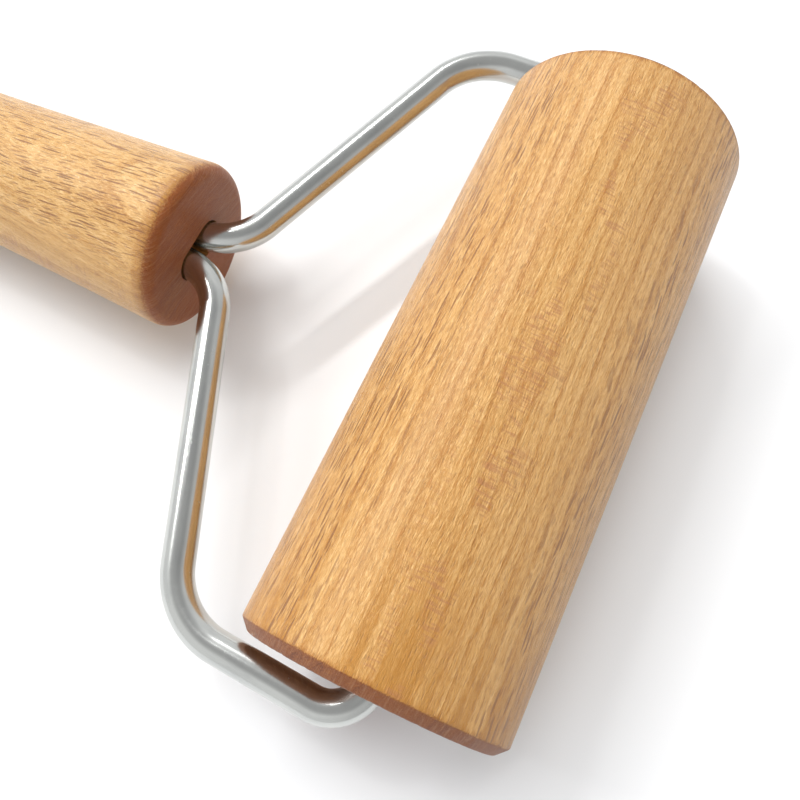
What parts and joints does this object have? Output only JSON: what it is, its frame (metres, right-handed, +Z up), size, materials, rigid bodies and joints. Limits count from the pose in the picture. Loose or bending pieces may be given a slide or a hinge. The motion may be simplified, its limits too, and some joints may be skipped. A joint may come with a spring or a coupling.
{
  "type": "wooden hand roller",
  "caption": "Hand roller: a solid beech cylinder that spins between the arms of a bent steel wire yoke set in a turned beech handle.",
  "frame": {"origin": "on the table surface, under the middle of the tool's box, with the roller and the handle's butt both resting on z = 0", "axes": "+X along the roller's axis, +Y from the handle towards the roller, +Z up from the table"},
  "size_m": [0.1138, 0.176, 0.04],
  "materials": {
    "handle_beech": "fine-sanded beech with a clear satin oil, browner end grain",
    "wire_steel": "polished stainless wire with fine drawing marks",
    "roller_beech": "fine-sanded honey beech with short dark pores, browner end grain",
    "bush_acetal": "natural acetal, turned"
  },
  "bodies": {
    "yoke": {"handle": "handle_beech", "yoke_arm_left": "wire_steel", "yoke_arm_right": "wire_steel"},
    "roller": {"roller_barrel": "roller_beech", "journal_bush_left": "bush_acetal", "journal_bush_right": "bush_acetal"}
  },
  "joints": [
    {"name": "roller_spin", "type": "hinge", "parent": "yoke", "child": "roller", "pos_m": [0, 0.06797, 0.02], "axis": [1, 0, 0], "continuous": true}
  ]
}
